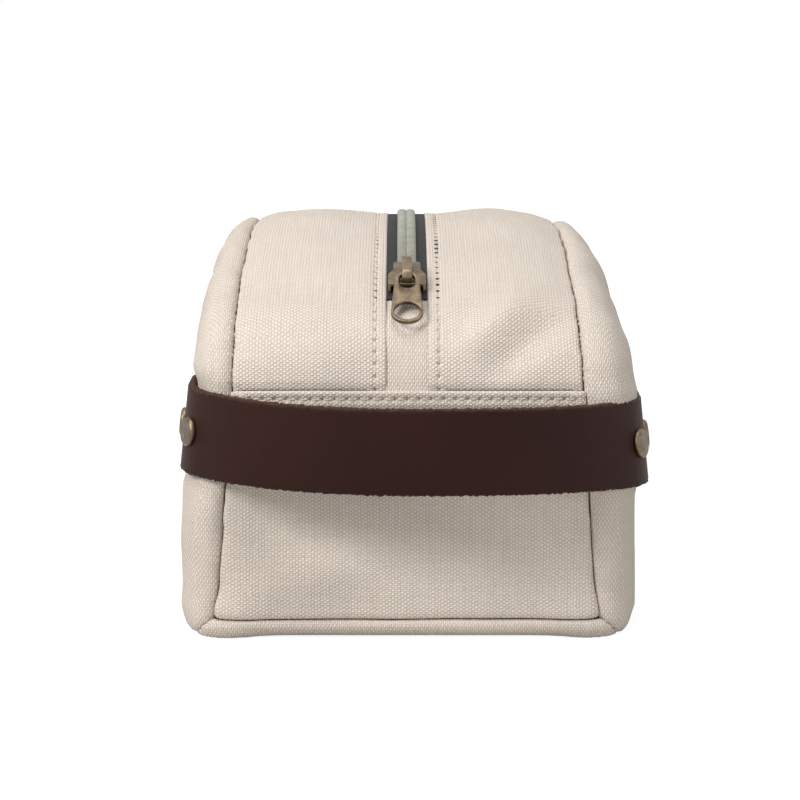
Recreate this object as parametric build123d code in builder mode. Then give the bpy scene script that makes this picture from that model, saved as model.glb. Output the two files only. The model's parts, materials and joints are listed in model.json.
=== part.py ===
"""Canvas toiletry bag with a zip along its top and a leather carry strap riveted round its front end.

Millimetres. +Z is up, -Y is the front end (the end with the strap), and the origin is the centre of
the flat base. The bag is sewn from canvas panels over a loose lining. The zip follows one circular
arc over the top, so its slider turns about that arc's centre.
"""

from build123d import *
from math import atan, atan2, cos, degrees, radians, sin, sqrt, tan
import os

# Whole bag, measured over the canvas
body_length = 233.0
body_width = 142.6
body_height = 118.2
top_radius = 242.5
end_lean = 4.4
shoulder_radius = 37.5
corner_radius = 22.0
base_edge_radius = 5.0

# Side walls, which bulge a little above the base
wall_radius = 327.0
wall_bulge_height = 29.0

# Seams between the panels
seam_height = 77.2
groove_base_half_width = 60.0
groove_top_half_width = 54.5
groove_straight_height = 79.4
base_seam_height = 6.0
panel_recess = 1.2

# Sheet goods
canvas_thickness = 1.5
tape_thickness = 0.6
tab_thickness = 1.0
lining_thickness = 0.5
lining_mouth_half_width = 13.0

# Zip
zip_gap = 12.8
zip_end_setback = 4.8
tab_half_width = 12.0
tape_half_width = 14.5
tape_edge = 1.4
coil_width = 3.0
coil_height = 2.0
coil_pitch = 1.27
coil_groove = 0.5
coil_gap = 0.1
stop_length = 2.0
stop_half_width = 4.2
stop_height = 2.2
stop_gap = 0.5

# Slider
slider_length = 16.0
slider_setback = 3.6
slider_wing_width = 12.0
slider_tail_width = 8.6
slider_wing_length = 7.0
slider_waist_length = 3.5
slider_plate = 1.0
slider_play = 0.3
slider_rail = 1.0
post_width = 2.0
post_length = 3.2
post_setback = 1.2
crown_width = 3.2
crown_thickness = 1.0
crown_setback = 0.8
crown_length = 13.5
crown_bend = 2.4
bar_height = 1.6
bar_setback = 3.6
bar_play = 0.4
spring_width = 2.0
spring_thickness = 0.3

# Pull tab
pull_length = 26.0
pull_width = 10.5
pull_top_width = 7.2
pull_thickness = 1.4
pull_ring_width = 4.4
pull_ring_length = 5.6
pull_eye_width = 8.2
pull_eye_length = 8.6
pull_rim = 1.2
pull_droop = 11.5

# Carry strap and its rivets
strap_width = 26.4
strap_thickness = 2.8
strap_height = 64.2
strap_reach = 22.4
strap_clearance = 0.55
strap_tail = 10.0
rivet_spacing = 14.0
rivet_angle = 26.0
rivet_cap_radius = 4.5
rivet_cap_height = 1.6
rivet_cap_round = 1.0
rivet_socket_depth = 0.8
rivet_head_radius = 3.5
rivet_head_height = 0.8
rivet_head_slack = 0.15
rivet_post_radius = 1.5
rivet_fit = 0.1

half_length = body_length / 2
half_width = body_width / 2
arc_centre_z = body_height - top_radius
beyond = 40.0

# Radii of the zip's layers from the arc's centre
panel_top = top_radius - panel_recess
tape_top = panel_top - canvas_thickness
tape_bottom = tape_top - tape_thickness
lining_inset = panel_recess + canvas_thickness + tab_thickness
degrees_per_mm = degrees(1 / tape_top)


def wall_half_width(height):
    """Half the width over the side walls at a height."""
    return half_width - wall_radius + sqrt(wall_radius**2 - (height - wall_bulge_height) ** 2)


def end_distance(height):
    """Distance from the middle to the leaning end at a height."""
    return half_length - height * tan(radians(end_lean))


def meet(start, slope, radius):
    """Point where the line y = start + slope * z meets the circle of a radius about the arc's centre."""
    a = 1 + slope**2
    b = start * slope - arc_centre_z
    c = start**2 + arc_centre_z**2 - radius**2
    z = (-b + sqrt(b**2 - a * c)) / a
    return start + slope * z, z


def bag_form(inset):
    """Closed solid of the whole bag, drawn in by inset on every side."""
    lean = radians(end_lean)
    start = inset / cos(lean) - half_length
    top_y, top_z = meet(start, tan(lean), top_radius - inset)
    foot_y = start + inset * tan(lean)
    wall = wall_radius - inset
    lid_z = body_height + beyond

    def wall_x(z):
        return half_width - wall_radius + sqrt(wall**2 - (z - wall_bulge_height) ** 2)

    with BuildPart() as form:
        with BuildSketch(Plane.YZ) as profile:
            with BuildLine():
                Polyline((top_y, top_z), (foot_y, inset), (-foot_y, inset), (-top_y, top_z))
                ThreePointArc((top_y, top_z), (0, body_height - inset), (-top_y, top_z))
            make_face()
            fillet(profile.vertices().group_by(Axis.Y)[-1], shoulder_radius - inset)
        extrude(amount=half_width + beyond, both=True)
        with BuildSketch(Plane.XZ):
            with BuildLine():
                Line((-wall_x(inset), inset), (wall_x(inset), inset))
                ThreePointArc(
                    (wall_x(inset), inset), (wall_x(seam_height), seam_height), (wall_x(lid_z), lid_z)
                )
                Line((wall_x(lid_z), lid_z), (-wall_x(lid_z), lid_z))
                ThreePointArc(
                    (-wall_x(lid_z), lid_z), (-wall_x(seam_height), seam_height), (-wall_x(inset), inset)
                )
            make_face()
        extrude(amount=half_length + beyond, both=True, mode=Mode.INTERSECT)
        walls = form.faces().sort_by(Axis.X)
        rims = walls[0].edges().group_by(Axis.Z)[1:] + walls[-1].edges().group_by(Axis.Z)[1:]
        fillet([edge for group in rims for edge in group], corner_radius - inset)
        fillet(form.faces().sort_by(Axis.Z)[0].edges(), base_edge_radius - inset)
    return form.part


outer_form = bag_form(0)
outer_hollow = bag_form(canvas_thickness)
panel_form = bag_form(panel_recess)
panel_hollow = bag_form(panel_recess + canvas_thickness)
tab_hollow = bag_form(panel_recess + canvas_thickness + tab_thickness)
lining_form = bag_form(lining_inset)
lining_hollow = bag_form(lining_inset + lining_thickness)

# Angle from the crest at which the shoulder takes over from the zip's arc, a little past its end
lean_shift = shoulder_radius / cos(radians(end_lean)) - half_length
shoulder_y, shoulder_z = meet(lean_shift, tan(radians(end_lean)), top_radius - shoulder_radius)
shoulder_angle = degrees(atan2(-shoulder_y, shoulder_z - arc_centre_z))
zip_end_angle = shoulder_angle - zip_end_setback * degrees_per_mm
slider_angle = zip_end_angle - (slider_setback + slider_length / 2) * degrees_per_mm
coil_start_angle = zip_end_angle - (
    slider_setback + post_setback + post_length + slider_play
) * degrees_per_mm
rear_stop_angle = -zip_end_angle + (stop_gap + stop_length) * degrees_per_mm
travel = slider_angle - (rear_stop_angle + (slider_length / 2 + stop_gap) * degrees_per_mm)


def track_plane(angle, radius):
    """Plane on the zip's arc: local X is the bag's, local Y runs back along the track and local Z
    stands off it. A positive angle is towards the front end."""
    s = sin(radians(angle))
    c = cos(radians(angle))
    return Plane(origin=(0, -radius * s, arc_centre_z + radius * c), x_dir=(1, 0, 0), z_dir=(0, -s, c))


def front_cut(sheet, hollow, outline):
    """Piece of the sheet between two forms that lies in an outline drawn from the front."""
    with BuildPart() as piece:
        add(sheet)
        add(hollow, mode=Mode.SUBTRACT)
        with BuildSketch(Plane.XZ):
            with BuildLine():
                Polyline(*outline, close=True)
            make_face()
        extrude(amount=half_length + beyond, both=True, mode=Mode.INTERSECT)
    return piece.part


def arc_strip(x_from, x_to, low, high, front_angle, rear_angle):
    """Strip along the zip's arc, between two widths, two radii and two angles."""
    s = sin(radians(front_angle))
    c = cos(radians(front_angle))
    with BuildPart() as strip:
        with BuildSketch(Plane(origin=(0, 0, arc_centre_z), x_dir=(1, 0, 0), z_dir=(0, -c, -s))):
            with BuildLine():
                Polyline((x_from, low), (x_to, low), (x_to, high), (x_from, high), close=True)
            make_face()
        revolve(axis=Axis((0, 0, arc_centre_z), (-1, 0, 0)), revolution_arc=front_angle - rear_angle)
    return strip.part


os.makedirs("parts", exist_ok=True)


def save(piece, name):
    """Label a finished piece and write its file."""
    piece.label = name
    export_step(piece, f"parts/{name}.step")


# Canvas side panels: each wraps round the vertical corners and over the long top edge
groove_taper = (groove_base_half_width - groove_top_half_width) / (
    groove_straight_height - base_seam_height
)
seam_half_width = groove_top_half_width + groove_taper * (groove_straight_height - seam_height)
lid_height = body_height + beyond
right_outline = [
    (groove_base_half_width, base_seam_height),
    (groove_top_half_width, groove_straight_height),
    (groove_top_half_width, lid_height),
    (groove_base_half_width + beyond, lid_height),
    (groove_base_half_width + beyond, base_seam_height - beyond),
]


def mirrored(outline):
    """The outline on the other side of the bag."""
    return [(-x, z) for x, z in outline]


# Strap and rivets. The two rivets on each side hold the strap to the side panel
corner_y = corner_radius - end_distance(strap_height)
strap_low = strap_height - strap_width / 2
strap_high = strap_height + strap_width / 2
strap_outer = strap_clearance + strap_thickness
rear_rivet_y = corner_y + rivet_spacing - radians(rivet_angle) * (corner_radius + strap_clearance)
strap_end_y = rear_rivet_y + strap_tail


def rivet_plane(angle, y_shift, depth):
    """Plane of a rivet on the right: its Z points out of the strap, and depth is below its face."""
    u = (cos(radians(angle)), -sin(radians(angle)))
    low_x = wall_half_width(strap_low) - corner_radius
    high_x = wall_half_width(strap_high) - corner_radius
    low_y = corner_radius - end_distance(strap_low)
    high_y = corner_radius - end_distance(strap_high)
    lean = atan(((low_x - high_x) * u[0] + (low_y - high_y) * u[1]) / strap_width)
    middle_x = (low_x + high_x) / 2
    middle_y = (low_y + high_y) / 2
    normal = (u[0] * cos(lean), u[1] * cos(lean), sin(lean))
    reach = corner_radius + strap_outer
    face = Vector(middle_x + reach * u[0], middle_y + y_shift + reach * u[1], strap_height)
    return Plane(origin=face - Vector(*normal) * depth, x_dir=(-u[1], u[0], 0), z_dir=normal)


rivet_places = [(rivet_angle, 0), (0, rear_rivet_y - corner_y)]


def rivet_discs(depth, radius, height, rounding):
    """Pair of discs on the right rivets' axes, standing out from a depth below the strap's face."""
    with BuildPart() as discs:
        for angle, y_shift in rivet_places:
            with BuildSketch(rivet_plane(angle, y_shift, depth)):
                Circle(radius)
            extrude(amount=height)
        if rounding:
            for angle, y_shift in rivet_places:
                rim = Vector(rivet_plane(angle, y_shift, depth - height).origin)
                circles = discs.edges().filter_by(GeomType.CIRCLE)
                fillet([e for e in circles if (e.arc_center - rim).length < rounding / 2], rounding)
    return discs.part


def other_side(piece):
    """The piece mirrored to the left of the bag."""
    return mirror(piece, about=Plane.YZ, mode=Mode.PRIVATE)


post_depth = strap_outer + canvas_thickness + rivet_head_slack
hole_depth = post_depth + corner_radius / 2
rivet_holes = rivet_discs(
    hole_depth, rivet_post_radius + rivet_fit, hole_depth + rivet_cap_height, 0
)

with BuildPart() as right_side_panel:
    add(front_cut(outer_form, outer_hollow, right_outline))
    add(rivet_holes, mode=Mode.SUBTRACT)

save(right_side_panel.part, "right_side_panel")
save(other_side(right_side_panel.part), "left_side_panel")

# Canvas bottom panel, turned up round the base and mitred to the side panels
bottom_outline = [
    (-groove_base_half_width, base_seam_height),
    (groove_base_half_width, base_seam_height),
    (groove_base_half_width + beyond, base_seam_height - beyond),
    (-groove_base_half_width - beyond, base_seam_height - beyond),
]
save(front_cut(outer_form, outer_hollow, bottom_outline), "bottom_panel")

# Canvas end panels, set in between the side panels
end_outline = [
    (-groove_base_half_width, base_seam_height),
    (groove_base_half_width, base_seam_height),
    (seam_half_width, seam_height),
    (-seam_half_width, seam_height),
]

with BuildPart() as front_end_panel:
    add(front_cut(panel_form, panel_hollow, end_outline))
    split(bisect_by=Plane.XZ, keep=Keep.TOP)

save(front_end_panel.part, "front_end_panel")
save(mirror(front_end_panel.part, about=Plane.XZ, mode=Mode.PRIVATE), "rear_end_panel")

# Canvas top panels, from the seam on one end over the top to the seam on the other
top_outline = [
    (zip_gap / 2, seam_height),
    (seam_half_width, seam_height),
    (groove_top_half_width, groove_straight_height),
    (groove_top_half_width, lid_height),
    (zip_gap / 2, lid_height),
]
top_panel_right = front_cut(panel_form, panel_hollow, top_outline)
save(top_panel_right, "top_panel_right")
save(other_side(top_panel_right), "top_panel_left")

# Canvas tabs that close the gap between the top panels beyond the ends of the zip
tab_outline = [
    (-tab_half_width, seam_height),
    (tab_half_width, seam_height),
    (tab_half_width, lid_height),
    (-tab_half_width, lid_height),
]

with BuildPart() as front_zip_tab:
    add(front_cut(panel_hollow, tab_hollow, tab_outline))
    split(bisect_by=track_plane(zip_end_angle, tape_top).rotated((90, 0, 0)), keep=Keep.TOP)

save(front_zip_tab.part, "front_zip_tab")
save(mirror(front_zip_tab.part, about=Plane.XZ, mode=Mode.PRIVATE), "rear_zip_tab")

# Lining, one loose shell with its mouth sewn to the outer edges of the zip's tapes
with BuildPart() as lining:
    add(lining_form)
    add(lining_hollow, mode=Mode.SUBTRACT)
    with BuildSketch(track_plane(0, tape_bottom)):
        Rectangle(2 * lining_mouth_half_width, 2 * tape_top * sin(radians(zip_end_angle)))
    extrude(amount=beyond, both=True, mode=Mode.SUBTRACT)

save(lining.part, "lining")

# Zip tapes, sewn under the edges of the top panels
tape_right = arc_strip(
    tape_edge, tape_half_width, tape_bottom, tape_top, zip_end_angle, -zip_end_angle
)
save(tape_right, "zip_tape_right")
save(other_side(tape_right), "zip_tape_left")


def coil(side, first_groove):
    """Half of the zip's chain: a ridge along the inner edge of one tape, grooved across at the coil's
    pitch from a first groove counted in pitches. The halves mesh, so theirs lie half a pitch apart."""
    inner = side * coil_gap / 2
    outer = side * (coil_gap / 2 + coil_width)
    crest = tape_top + coil_height
    pitch = coil_pitch * degrees_per_mm

    def at(angle, radius):
        return (-radius * sin(radians(angle)), arc_centre_z + radius * cos(radians(angle)))

    outline = [at(coil_start_angle, tape_top), at(coil_start_angle, crest)]
    angle = coil_start_angle - first_groove * pitch
    while angle > rear_stop_angle + pitch:
        outline.append(at(angle + pitch / 4, crest))
        outline.append(at(angle, crest - coil_groove))
        outline.append(at(angle - pitch / 4, crest))
        angle -= pitch
    outline.append(at(rear_stop_angle, crest))
    outline.append(at(rear_stop_angle, tape_top))
    with BuildPart() as half_chain:
        with BuildSketch(Plane.YZ.offset(min(inner, outer))):
            with BuildLine():
                Polyline(*outline)
                ThreePointArc(outline[-1], (0, arc_centre_z + tape_top), outline[0])
            make_face()
        extrude(amount=coil_width)
    return half_chain.part


save(coil(-1, 0.5), "zip_coil_left")
save(coil(1, 1), "zip_coil_right")

# Stops: one on each tape at the front, and one across both halves of the chain at the rear
front_stop_front = zip_end_angle - stop_gap * degrees_per_mm
front_stop_rear = front_stop_front - stop_length * degrees_per_mm
stop_top = tape_top + stop_height

with BuildPart() as front_stops:
    add(arc_strip(tape_edge, stop_half_width, tape_top, stop_top, front_stop_front, front_stop_rear))
    mirror(about=Plane.YZ)

save(front_stops.part, "zip_front_stops")
rear_stop_end = -zip_end_angle + stop_gap * degrees_per_mm
rear_stop = arc_strip(
    -stop_half_width, stop_half_width, tape_top, stop_top, rear_stop_angle, rear_stop_end
)
save(rear_stop, "zip_rear_stop")

# Slider body: two plates joined by a post, with rails that hold the coils
slider_frame = track_plane(slider_angle, tape_top)
plate_low = coil_height + slider_play
plate_high = plate_low + slider_plate
keel_high = -tape_thickness - slider_play
keel_low = keel_high - slider_plate
slider_front = -slider_length / 2
waist_y = slider_front + slider_wing_length


def slider_outline(margin, overrun):
    """Plan of the slider, wide at the front and narrow at the tail, drawn in by a margin at its
    sides and lengthened by an overrun at both ends."""
    wing = slider_wing_width / 2 - margin
    tail = slider_tail_width / 2 - margin
    reach = slider_length / 2 + overrun
    return [
        (-wing, -reach),
        (wing, -reach),
        (wing, waist_y),
        (tail, waist_y + slider_waist_length),
        (tail, reach),
        (-tail, reach),
        (-tail, waist_y + slider_waist_length),
        (-wing, waist_y),
    ]


with BuildPart() as slider_body:
    with BuildSketch(slider_frame.offset(keel_low)):
        with BuildLine():
            Polyline(*slider_outline(0, 0), close=True)
        make_face()
    extrude(amount=plate_high - keel_low)
    uprights = slider_body.edges().filter_by(Axis(slider_frame.origin, slider_frame.z_dir))
    fillet(uprights, slider_rail)
    with BuildSketch(slider_frame.offset(keel_high)):
        with BuildLine():
            Polyline(*slider_outline(slider_rail, beyond), close=True)
        make_face()
    extrude(amount=plate_low - keel_high, mode=Mode.SUBTRACT)
    with BuildSketch(slider_frame.offset(keel_high)):
        Rectangle(2 * slider_wing_width, 2 * slider_length)
    extrude(amount=slider_play - keel_high, mode=Mode.SUBTRACT)
    with BuildSketch(slider_frame.offset(keel_high)):
        with Locations((0, slider_front + post_setback + post_length / 2)):
            Rectangle(post_width, post_length)
    extrude(amount=plate_low - keel_high)

save(slider_body.part, "slider_body")

# Crown: a bent strip over the top plate that holds the pull tab's bar
crown_front = slider_front + crown_setback
crown_rear = crown_front + crown_length
bar_y = slider_front + bar_setback
bar_z = plate_high + bar_height
bar_radius = pull_thickness / 2
roof_low = bar_z + bar_radius + bar_play
roof_high = roof_low + crown_thickness
crown_plane = Plane(
    origin=slider_frame.origin - slider_frame.x_dir * crown_width / 2,
    x_dir=slider_frame.y_dir,
    z_dir=slider_frame.x_dir,
)

with BuildPart() as slider_crown:
    with BuildSketch(crown_plane) as crown_side:
        with BuildLine():
            Polyline(
                (crown_front, plate_high),
                (crown_front + crown_thickness, plate_high),
                (crown_front + crown_thickness, roof_low),
                (crown_rear - crown_thickness, roof_low),
                (crown_rear - crown_thickness, plate_high),
                (crown_rear, plate_high),
                (crown_rear, roof_high),
                (crown_front, roof_high),
                close=True,
            )
        make_face()
        fillet(crown_side.vertices().group_by(Axis.Y)[-1], crown_bend)
    extrude(amount=crown_width)

save(slider_crown.part, "slider_crown")

# Lock spring, a strip under the crown's roof behind the pull tab's bar
spring_front = bar_y + bar_radius + bar_play
spring_rear = crown_rear - crown_thickness

with BuildPart() as lock_spring:
    with BuildSketch(slider_frame.offset(roof_low - spring_thickness)):
        with Locations((0, (spring_front + spring_rear) / 2)):
            Rectangle(spring_width, spring_rear - spring_front)
    extrude(amount=spring_thickness)

save(lock_spring.part, "lock_spring")

# Pull tab, hung on the crown by its ring and drooping towards the front
bar_point = slider_frame.from_local_coords((0, bar_y, bar_z))
bar_start = bar_point - Vector(pull_top_width / 2, 0, 0)
pull_slope = radians(slider_angle + pull_droop)
pull_frame = Plane(
    origin=bar_point,
    x_dir=(-1, 0, 0),
    z_dir=(0, -sin(pull_slope), cos(pull_slope)),
)
ring_end = bar_radius + pull_ring_length
eye_end = pull_length - bar_radius - pull_rim
eye_middle = eye_end - pull_eye_length / 2
round_centre = pull_length - bar_radius - pull_width / 2

with BuildPart() as pull_tab:
    with BuildSketch(pull_frame.offset(-bar_radius)):
        with BuildSketch(mode=Mode.PRIVATE) as blade:
            with BuildLine():
                left = Line((-pull_top_width / 2, 0), (-pull_width / 2, round_centre))
                tip = ThreePointArc(
                    left @ 1, (0, round_centre + pull_width / 2), (pull_width / 2, round_centre)
                )
                right = Line(tip @ 1, (pull_top_width / 2, 0))
                Line(right @ 1, left @ 0)
            make_face()
        add(blade.sketch)
        with Locations((0, bar_radius + pull_ring_length / 2)):
            Rectangle(pull_ring_width, pull_ring_length, mode=Mode.SUBTRACT)
        with Locations((0, eye_middle)):
            Ellipse(pull_eye_width / 2, pull_eye_length / 2, mode=Mode.SUBTRACT)
    extrude(amount=pull_thickness)
    with BuildSketch(Plane(origin=bar_start, x_dir=(0, 1, 0), z_dir=(1, 0, 0))):
        Circle(bar_radius)
    extrude(amount=pull_top_width)

save(pull_tab.part, "pull_tab")


def strap_section(height):
    """Closed plan of the strap at a height: it follows the bag's corners and bows out round the end."""
    centre_x = wall_half_width(height) - corner_radius
    centre_y = corner_radius - end_distance(height)
    bend = corner_radius + strap_clearance
    front = end_distance(strap_height) + strap_reach
    turn = 2 * atan((front + centre_y - bend) / centre_x)
    bow = centre_x / sin(turn)
    bow_y = centre_y + bow * cos(turn)

    def side(offset, sign):
        """Points along one face of the strap on one side, from its end to the middle of the front."""
        r = bend + offset
        half = (turn + radians(90)) / 2
        return [
            (sign * (centre_x + r), strap_end_y),
            (sign * (centre_x + r), centre_y),
            (sign * (centre_x + r * sin(half)), centre_y - r * cos(half)),
            (sign * (centre_x + r * sin(turn)), centre_y - r * cos(turn)),
            (0, bow_y - bow - r),
        ]

    with BuildSketch(Plane.XY.offset(height)) as section:
        with BuildLine():
            for offset in (0, strap_thickness):
                right = side(offset, 1)
                left = side(offset, -1)
                Line(right[0], right[1])
                ThreePointArc(right[1], right[2], right[3])
                ThreePointArc(right[3], right[4], left[3])
                ThreePointArc(left[3], left[2], left[1])
                Line(left[1], left[0])
            Line(side(0, 1)[0], side(strap_thickness, 1)[0])
            Line(side(0, -1)[0], side(strap_thickness, -1)[0])
        make_face()
    return section.sketch


with BuildPart() as leather_strap:
    loft([strap_section(strap_low).face(), strap_section(strap_high).face()], ruled=True)
    add(rivet_holes, mode=Mode.SUBTRACT)
    add(other_side(rivet_holes), mode=Mode.SUBTRACT)

save(leather_strap.part, "leather_strap")

# Rivets: a domed cap on the strap, and a headed post from inside the canvas into the cap's socket
with BuildPart() as rivet_caps:
    add(rivet_discs(0, rivet_cap_radius, rivet_cap_height, rivet_cap_round))
    add(
        rivet_discs(hole_depth, rivet_post_radius, hole_depth + rivet_socket_depth, 0),
        mode=Mode.SUBTRACT,
    )

with BuildPart() as rivet_studs:
    add(rivet_discs(post_depth + rivet_head_height, rivet_head_radius, rivet_head_height, 0))
    add(rivet_discs(post_depth, rivet_post_radius, post_depth + rivet_socket_depth, 0))

save(rivet_caps.part, "rivet_caps_right")
save(other_side(rivet_caps.part), "rivet_caps_left")
save(rivet_studs.part, "rivet_studs_right")
save(other_side(rivet_studs.part), "rivet_studs_left")

print("slider angle", round(slider_angle, 3), "zip end angle", round(zip_end_angle, 3))
print("travel in degrees", round(travel, 3))
print("arc centre z", round(arc_centre_z, 3), "bar", bar_point)
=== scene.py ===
import bpy
import json
import math
import numpy as np
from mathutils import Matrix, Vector


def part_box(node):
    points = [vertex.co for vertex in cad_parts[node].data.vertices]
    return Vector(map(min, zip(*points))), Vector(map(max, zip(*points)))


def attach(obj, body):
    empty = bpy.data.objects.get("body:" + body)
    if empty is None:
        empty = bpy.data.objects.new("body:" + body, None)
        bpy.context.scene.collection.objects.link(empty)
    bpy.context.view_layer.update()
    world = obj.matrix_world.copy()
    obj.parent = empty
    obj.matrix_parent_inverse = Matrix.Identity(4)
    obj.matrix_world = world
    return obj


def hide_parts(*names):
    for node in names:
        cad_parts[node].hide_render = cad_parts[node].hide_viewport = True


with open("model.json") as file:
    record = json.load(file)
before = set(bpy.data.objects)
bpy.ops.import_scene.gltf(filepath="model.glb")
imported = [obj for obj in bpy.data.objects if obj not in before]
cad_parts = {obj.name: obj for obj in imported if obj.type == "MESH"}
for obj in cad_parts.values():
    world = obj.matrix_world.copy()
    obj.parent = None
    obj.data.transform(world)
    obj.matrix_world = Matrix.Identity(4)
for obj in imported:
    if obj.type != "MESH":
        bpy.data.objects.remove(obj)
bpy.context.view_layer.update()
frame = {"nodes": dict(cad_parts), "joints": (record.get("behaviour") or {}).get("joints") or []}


# The camera stands 0.66 m in front of the bag's end, a little above it, and looks down at it
# through a long lens, as the product picture was taken.

bpy.ops.object.select_all(action="DESELECT")
eye_distance = 0.778
eye_height = 0.2181
eye_shift = -0.0022
look_down = math.radians(12.12)
bpy.ops.object.camera_add(
    location=(eye_shift, -eye_distance, eye_height),
    rotation=(math.radians(90) - look_down, 0, 0),
)
camera = bpy.context.object
camera.data.lens = 100.8
camera.data.sensor_width = 36.0
camera.data.clip_end = 20.0
bpy.context.scene.camera = camera
bpy.context.scene.view_settings.view_transform = "Standard"


# The stage is a pale floor in a white room. Both look white to the camera and in the metal, and the
# floor keeps a faint shadow. The key soft box stands at the upper left, and weaker ones stand
# overhead, at the right and in front.

floor_size = 8.0
floor_gap = 0.0002
room_strength = 0.3
shadow_radius = 0.16
shadow_glow = 0.9
white_radius = 0.5
bpy.ops.object.select_all(action="DESELECT")
bpy.ops.mesh.primitive_plane_add(size=floor_size, location=(0, 0, -floor_gap))
floor = bpy.context.object
floor.name = "floor"


def seen_directly(tree):
    """1 for rays from the camera and in mirrors or glass, 0 for light that bounces about."""
    rays = tree.nodes.new("ShaderNodeLightPath")
    direct = tree.nodes.new("ShaderNodeMath")
    direct.operation = "ADD"
    both = tree.nodes.new("ShaderNodeMath")
    both.operation = "ADD"
    both.use_clamp = True
    tree.links.new(rays.outputs["Is Camera Ray"], direct.inputs[0])
    tree.links.new(rays.outputs["Is Glossy Ray"], direct.inputs[1])
    tree.links.new(direct.outputs[0], both.inputs[0])
    tree.links.new(rays.outputs["Is Transmission Ray"], both.inputs[1])
    return both.outputs[0]


def mixed(tree, factor, a, b):
    """Mix of two shaders."""
    mix = tree.nodes.new("ShaderNodeMixShader")
    tree.links.new(factor, mix.inputs[0])
    tree.links.new(a, mix.inputs[1])
    tree.links.new(b, mix.inputs[2])
    return mix.outputs[0]


def glow(tree, color, strength):
    """Background shader."""
    node = tree.nodes.new("ShaderNodeBackground")
    node.inputs["Color"].default_value = color
    node.inputs["Strength"].default_value = strength
    return node.outputs[0]


world = bpy.data.worlds.new("white_room")
world.use_nodes = True
room = world.node_tree
room.nodes.clear()
room_out = room.nodes.new("ShaderNodeOutputWorld")
room_light = glow(room, (1.0, 0.99, 0.98, 1), room_strength)
room_white = glow(room, (1, 1, 1, 1), 1.0)
room.links.new(mixed(room, seen_directly(room), room_light, room_white), room_out.inputs["Surface"])
bpy.context.scene.world = world

floor_paint = bpy.data.materials.new("floor_paint")
floor_paint.use_nodes = True
paint = floor_paint.node_tree
paint.nodes.clear()
paint_out = paint.nodes.new("ShaderNodeOutputMaterial")
paint_base = paint.nodes.new("ShaderNodeBsdfDiffuse")
paint_base.inputs["Color"].default_value = (0.5, 0.49, 0.48, 1)
paint_thin = paint.nodes.new("ShaderNodeBsdfDiffuse")
paint_thin.inputs["Color"].default_value = (0.25, 0.25, 0.25, 1)
paint_white = paint.nodes.new("ShaderNodeAddShader")
paint_glow = paint.nodes.new("ShaderNodeEmission")
# The floor glows less near the bag, which paints shade round it; the lamps' real faint shadow falls
# there as well.
paint_place = paint.nodes.new("ShaderNodeTexCoord")
paint_reach = paint.nodes.new("ShaderNodeVectorMath")
paint_reach.operation = "LENGTH"
paint.links.new(paint_place.outputs["Object"], paint_reach.inputs[0])
paint_range = paint.nodes.new("ShaderNodeMapRange")
paint_range.inputs["From Min"].default_value = shadow_radius
paint_range.inputs["From Max"].default_value = white_radius
paint_range.inputs["To Min"].default_value = shadow_glow
paint_range.inputs["To Max"].default_value = 1.0
paint.links.new(paint_reach.outputs["Value"], paint_range.inputs["Value"])
paint.links.new(paint_range.outputs[0], paint_glow.inputs["Strength"])
paint.links.new(paint_glow.outputs[0], paint_white.inputs[0])
paint.links.new(paint_thin.outputs[0], paint_white.inputs[1])
paint_mix = mixed(paint, seen_directly(paint), paint_base.outputs[0], paint_white.outputs[0])
paint.links.new(paint_mix, paint_out.inputs["Surface"])
floor.data.materials.append(floor_paint)


def soft_box(name, place, target, size, power, color=(1, 1, 1)):
    """Square studio light that faces a target."""
    bpy.ops.object.light_add(type="AREA", location=place)
    lamp = bpy.context.object
    lamp.name = name
    lamp.data.size = size
    lamp.data.energy = power
    lamp.data.color = color
    lamp.rotation_euler = (Vector(target) - Vector(place)).to_track_quat("-Z", "Y").to_euler()


bag_middle = (0, 0, 0.05)
soft_box("key", (-0.95, -0.85, 1.0), bag_middle, 0.55, 14.0, (1.0, 0.985, 0.965))
soft_box("top", (-0.15, -0.1, 1.4), bag_middle, 0.7, 8.0)
soft_box("fill", (1.3, -0.7, 0.4), bag_middle, 0.8, 4.0, (1.0, 0.99, 0.98))
soft_box("front", (-0.5, -1.5, 0.25), bag_middle, 0.6, 1.9)


# Canvas form. All the bag's panels are of one undyed heavy canvas, and the bag is filled and soft.
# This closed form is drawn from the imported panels, and each panel is then cut from it at its seams.

mm = 0.001
groove_base = 60.0 * mm
groove_top = 54.5 * mm
groove_straight = 79.4 * mm
base_seam = 6.0 * mm
seam = 77.2 * mm
zip_half_gap = 6.4 * mm
canvas_thickness = 1.5 * mm
panel_recess = 1.2 * mm
weave_step = 1.5 * mm
groove_slope = (groove_base - groove_top) / (groove_straight - base_seam)


def select_only(piece):
    """Leave one object selected and active."""
    bpy.ops.object.select_all(action="DESELECT")
    piece.select_set(True)
    bpy.context.view_layer.objects.active = piece


def apply_modifier(piece, kind, **settings):
    """Add a modifier with its settings and apply it."""
    select_only(piece)
    modifier = piece.modifiers.new(kind.lower(), kind)
    for key, value in settings.items():
        setattr(modifier, key, value)
    bpy.ops.object.modifier_apply(modifier=modifier.name)


def points_of(piece):
    """The mesh's points and their normals, as rows of three."""
    count = len(piece.data.vertices)
    places = np.empty(count * 3)
    normals = np.empty(count * 3)
    piece.data.vertices.foreach_get("co", places)
    piece.data.vertices.foreach_get("normal", normals)
    return places.reshape(-1, 3), normals.reshape(-1, 3)


def set_points(piece, places):
    """Move the mesh's points, none of them below the floor."""
    places[:, 2] = np.maximum(places[:, 2], 0)
    piece.data.vertices.foreach_set("co", places.ravel())
    piece.data.update()


def step(x, low, high):
    """0 up to low, 1 from high, smooth between."""
    t = np.clip((x - low) / (high - low), 0, 1)
    return t * t * (3 - 2 * t)


def bell(x, centre, width):
    """Smooth hump of height 1."""
    return np.exp(-(((x - centre) / width) ** 2))


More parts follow.
